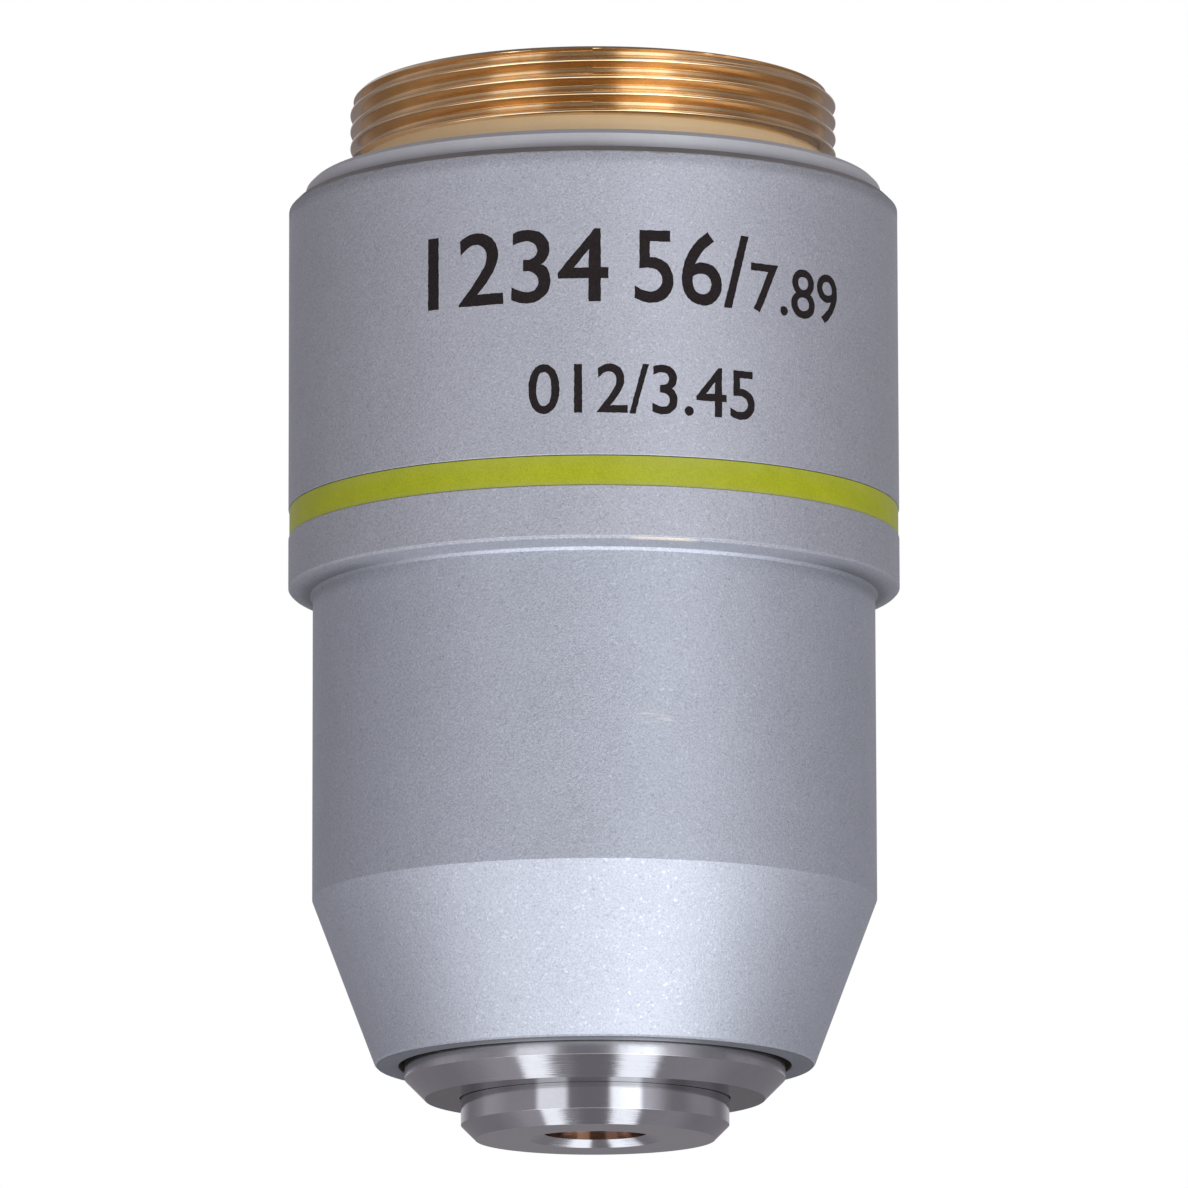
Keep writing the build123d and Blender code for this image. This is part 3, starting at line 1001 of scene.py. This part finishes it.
class OBJECTIVE_OT_figures(ObjectiveOperator):
    """Print plain figures on the front of the upper sleeve"""

    bl_idname = "objective.figures"
    bl_label = "Figures"

    # Text, its left and right end as arc lengths from the front, its baseline height, and its size
    LINES = (
        ("1234", -7.11, 0.62, -7.40, "large", "figures_left"),
        ("56/", 1.68, 6.63, -7.40, "large", "figures_middle"),
        ("7.89", 6.75, 11.52, -7.44, "small", "figures_right"),
        ("012/3.45", -2.67, 6.90, -12.0, "small", "figures_lower"),
    )

    BOLD = 0.013  # how far the strokes grow outwards, as a share of the height
    INK_HEIGHT, INK_SINK = 0.004, 0.012
    RAGGEDNESS, RAGS_A_MM = 0.022, 6
    RAGS_SEED = 1  # without a seed the noise follows the clock
    CELL = 0.12  # largest flat piece of a figure
    SLIVER = 0.004  # shorter edges than this, in the font's units, are merged

    def make(self, settings):
        noise.seed_set(self.RAGS_SEED)
        ink = printing_ink("black_ink")
        heights = {
            "large": settings.figure_height / MM,
            "small": settings.small_figure_height / MM,
        }
        for text, left, right, base, size, name in self.LINES:
            self.print_text(text, (left, right), base, heights[size], name, ink)

    def print_text(self, text, ends, base, height, name, ink):
        """Prints one line: flat first, in millimetres, then raised and bent round the sleeve."""
        bm = self.flat_text(text, name)
        lows = [min(v.co[i] for v in bm.verts) for i in (0, 1)]
        highs = [max(v.co[i] for v in bm.verts) for i in (0, 1)]
        bold = self.BOLD * height
        wide = (ends[1] - ends[0] - 2 * bold) / (highs[0] - lows[0])
        tall = (height - 2 * bold) / (highs[1] - lows[1])
        for v in bm.verts:
            x, y = (v.co.x - lows[0]) * wide, (v.co.y - lows[1]) * tall
            v.co = (ends[0] + bold + x, bold + y, 0)
        self.thicken(bm, bold)
        self.slice(bm, ends, height)
        self.fray(bm, base)
        grown = bmesh.ops.extrude_face_region(bm, geom=bm.faces[:])
        for v in (e for e in grown["geom"] if isinstance(e, bmesh.types.BMVert)):
            v.co.z = 1
        sleeve_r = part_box("upper_sleeve")[1].x / MM
        for v in bm.verts:
            r = sleeve_r + (self.INK_HEIGHT if v.co.z > 0.5 else -self.INK_SINK)
            v.co = around(r, v.co.x / sleeve_r, base + v.co.y)
        piece = piece_from(bm, name, [ink])
        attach(piece, BODY)

    def flat_text(self, text, name):
        """The text's faces as a bmesh, in the font's units."""
        curve = bpy.data.curves.new(name, "FONT")
        curve.body = text
        curve.resolution_u = 6
        holder = placed(name + "_flat", curve)
        flat = evaluated_mesh(holder)
        bpy.data.objects.remove(holder)
        bpy.data.curves.remove(curve)
        bm = bmesh.new()
        bm.from_mesh(flat)
        bpy.data.meshes.remove(flat)
        bmesh.ops.remove_doubles(bm, verts=bm.verts, dist=self.SLIVER)
        return bm

    def thicken(self, bm, bold):
        """Moves the outline of flat figures outwards."""
        sharpest = 0.6  # keeps the moves at sharp corners short
        moves = {}
        for v in bm.verts:
            sides = []
            for edge in v.link_edges:
                if edge.is_boundary:
                    along = edge.verts[1].co - edge.verts[0].co
                    side = along.cross(Vector((0, 0, 1))).normalized()
                    inside = edge.link_faces[0].calc_center_median() - edge.verts[0].co
                    sides.append(-side if side.dot(inside) > 0 else side)
            if len(sides) == 2:
                one, other = sides
                moves[v] = (one + other) / max(1 + one.dot(other), sharpest) * bold
        for v, move in moves.items():
            v.co += move

    def slice(self, bm, ends, height):
        """Cuts the flat figures into narrow cells, so that they bend round the sleeve."""
        for axis, low, high in ((0, ends[0], ends[1]), (1, 0.0, height)):
            normal = Vector((axis == 0, axis == 1, 0))
            place = low + self.CELL
            while place < high:
                geometry = bm.verts[:] + bm.edges[:] + bm.faces[:]
                plane = {"plane_co": normal * place, "plane_no": normal}
                bmesh.ops.bisect_plane(bm, geom=geometry, dist=1e-5, **plane)
                place += self.CELL

    def fray(self, bm, base):
        """Makes the printed edges slightly uneven."""
        for v in bm.verts:
            if v.is_boundary:
                spot = Vector((v.co.x * self.RAGS_A_MM, v.co.y * self.RAGS_A_MM, base))
                shake = noise.noise_vector(spot)
                v.co.x += shake.x * self.RAGGEDNESS
                v.co.y += shake.y * self.RAGGEDNESS


class OBJECTIVE_OT_studio(ObjectiveOperator):
    """Set the camera, the light and the floor"""

    bl_idname = "objective.studio"
    bl_label = "Studio"

    # The camera in metres, millimetres and degrees, as fitted to the photograph's view
    CAMERA_PLACE = (0.0, -0.4772, -0.10169)
    CAMERA_PITCH, CAMERA_ROLL = 100.04, -0.125
    FOCAL_LENGTH, SENSOR_WIDTH = 353.2, 36.0

    # Brightness of the room and of the cards beside the strips
    ROOM, SIDES, LEFT_SIDE, BACK = 0.235, 0.08, 0.1, 0.3
    LOW_CARD, HIGH_RIGHT_CARD, HIGH_LEFT_CARD = 3.1, 0.95, 0.15
    ROOM_TINT, STRIP_TINT = (1.0, 0.945, 1.03), (0.95, 0.985, 1.03)

    FLOOR_RADIUS = 1.5  # metres
    FLOOR_GAP = 0.02

    def make(self, settings):
        self.camera()
        self.light(settings)
        self.floor()
        bpy.context.scene.view_settings.view_transform = "Standard"

    def camera(self):
        """Long lens from a little below, as the photograph was taken."""
        data = bpy.data.cameras.new("camera")
        data.sensor_width, data.lens = self.SENSOR_WIDTH, self.FOCAL_LENGTH
        camera = placed("camera", data)
        camera.location = self.CAMERA_PLACE
        camera.rotation_mode = "QUATERNION"
        pitch = Matrix.Rotation(math.radians(self.CAMERA_PITCH), 4, "X")
        roll = Matrix.Rotation(math.radians(self.CAMERA_ROLL), 4, "Z")
        camera.rotation_quaternion = (pitch @ roll).to_quaternion()
        bpy.context.scene.camera = camera

    def light(self, settings):
        """White behind the object, and for its reflections strips and cards round the camera.

        A direction is a turn to the camera's right and a rise above the horizon, in degrees.
        """
        world = bpy.data.worlds.new("studio")
        world.use_nodes = True
        bpy.context.scene.world = world
        world.node_tree.nodes.clear()
        g = Graph(world.node_tree)
        x, y, z = g.parts(g.add("ShaderNodeTexCoord"))
        degrees = 180 / math.pi
        turn = x.math("ARCTAN2", y * -1) * degrees
        rise = z.math("ARCSINE") * degrees
        away = turn.math("ABSOLUTE")
        power = settings.strip_strength

        def card(turns, turn_soft, rises, rise_soft):
            return turn.window(*turns, turn_soft) * rise.window(*rises, rise_soft)

        # Far below the horizon the strips stand further out. Two more stand behind the object.
        slide = rise.ramp(-70.0, -42.0, 1.0, 0.0, "LINEAR")
        right = turn.window(slide * 37.0 + 13.0, slide * 49.0 + 40.0, slide * 3.0 + 3.0)
        beside = turn.ramp(12.0, 40.0) * turn.ramp(40.0, 72.0, 0.35, 0.0) * (1.0 - slide)
        right = (right + beside) * rise.window(-88.0, 34.0, 8.0)
        left_turns = (slide * -54.0 - 51.0, slide * -51.0 - 24.0)
        left = card(left_turns, 3.0, (-88.0, 22.0), 9.0) * (0.68 + slide * 0.2)
        behind = turn.window(163.5, 176.5, 1.5) + turn.window(-169.0, -161.0, 1.5)
        behind = behind * rise.window(-64.0, -38.0, 4.0)
        strips = (right + behind + left) * power

        low = turn.window(-72.0, 57.0, 12.0) * 0.8 + turn.window(12.0, 66.0, 12.0) * 0.6
        low = low * rise.window(-58.0, -17.0, 9.0)
        high_right = card((25.0, 95.0), 12.0, (30.0, 62.0), 6.0) * self.HIGH_RIGHT_CARD
        high_left = card((-95.0, -25.0), 12.0, (30.0, 62.0), 6.0) * self.HIGH_LEFT_CARD

        side = away.window(88.0, 122.0, 10.0) * self.SIDES
        side = side + turn.window(-112.0, -50.0, 6.0) * self.LEFT_SIDE
        back = away.ramp(135.0, 165.0) * rise.window(4.0, 60.0, 4.0) * self.BACK
        dark_top = rise.ramp(20.0, 60.0, 1.0, 0.75)
        dark_low = rise.ramp(-80.0, -45.0, 0.85, 1.0)
        dark_front = 1.0 - card((-16.0, 8.0), 6.0, (-24.0, 16.0), 6.0) * 0.12
        room = (self.ROOM + side + back) * dark_top * dark_low * dark_front

        level = room + strips + low * self.LOW_CARD + high_right + high_left
        tint = g.mix((strips / power + low).clamped(), self.ROOM_TINT, self.STRIP_TINT)
        camera_ray = g.add("ShaderNodeLightPath")
        seen = g.mix(camera_ray, g.toned(tint, level), (1.0, 1.0, 1.0))
        sky = g.add("ShaderNodeBackground", {}, {0: seen, 1: 1.0})
        g.add("ShaderNodeOutputWorld", {}, {0: sky})

    def floor(self):
        """Pale floor under the nose. It is one-sided, because the camera looks from below it."""
        s = Surface("floor_pale")
        cloud = s.noise(s.place, 0.02)
        tone = 0.78 + cloud * 0.04
        pale = s.add("ShaderNodeBsdfDiffuse", {}, {0: s.joined(tone, tone, tone)})
        clear = s.add("ShaderNodeBsdfTransparent")
        from_below = s.add("ShaderNodeNewGeometry", {}, {}, out=6)
        shader = s.add("ShaderNodeMixShader", {}, {0: from_below, 1: pale, 2: clear})
        s.add("ShaderNodeOutputMaterial", {}, {0: shader})
        nose_z = cad_box[0][2]
        bm = bmesh.new()
        bmesh.ops.create_circle(bm, cap_ends=True, segments=96, radius=self.FLOOR_RADIUS)
        for v in bm.verts:
            v.co.z = nose_z - self.FLOOR_GAP * MM
        mesh = mesh_of(bm, "floor")
        mesh.materials.append(s.material)
        floor = placed("floor", mesh)
        floor.visible_glossy = floor.visible_diffuse = floor.visible_shadow = False
        floor.visible_transmission = False


class OBJECTIVE_PT_panel(bpy.types.Panel):
    """Lists the pieces and sizes of the objective"""

    bl_idname = "OBJECTIVE_PT_panel"
    bl_label = "Microscope objective"
    bl_space_type = "VIEW_3D"
    bl_region_type = "UI"
    bl_category = "Objective"

    def draw(self, context):
        for operator in OPERATORS:
            self.layout.operator(operator.bl_idname)
        settings = context.scene.objective
        for name in ObjectiveSettings.__annotations__:
            self.layout.prop(settings, name)


OPERATORS = (
    OBJECTIVE_OT_body_tube,
    OBJECTIVE_OT_sleeves,
    OBJECTIVE_OT_nose,
    OBJECTIVE_OT_optics,
    OBJECTIVE_OT_figures,
    OBJECTIVE_OT_studio,
)


def register():
    for cls in (ObjectiveSettings, *OPERATORS, OBJECTIVE_PT_panel):
        bpy.utils.register_class(cls)
    bpy.types.Scene.objective = PointerProperty(type=ObjectiveSettings)


def unregister():
    del bpy.types.Scene.objective
    for cls in (OBJECTIVE_PT_panel, *reversed(OPERATORS), ObjectiveSettings):
        bpy.utils.unregister_class(cls)


def main():
    register()
    for operator in OPERATORS:
        group, name = operator.bl_idname.split(".")
        getattr(getattr(bpy.ops, group), name)()


if __name__ == "__main__":
    main()
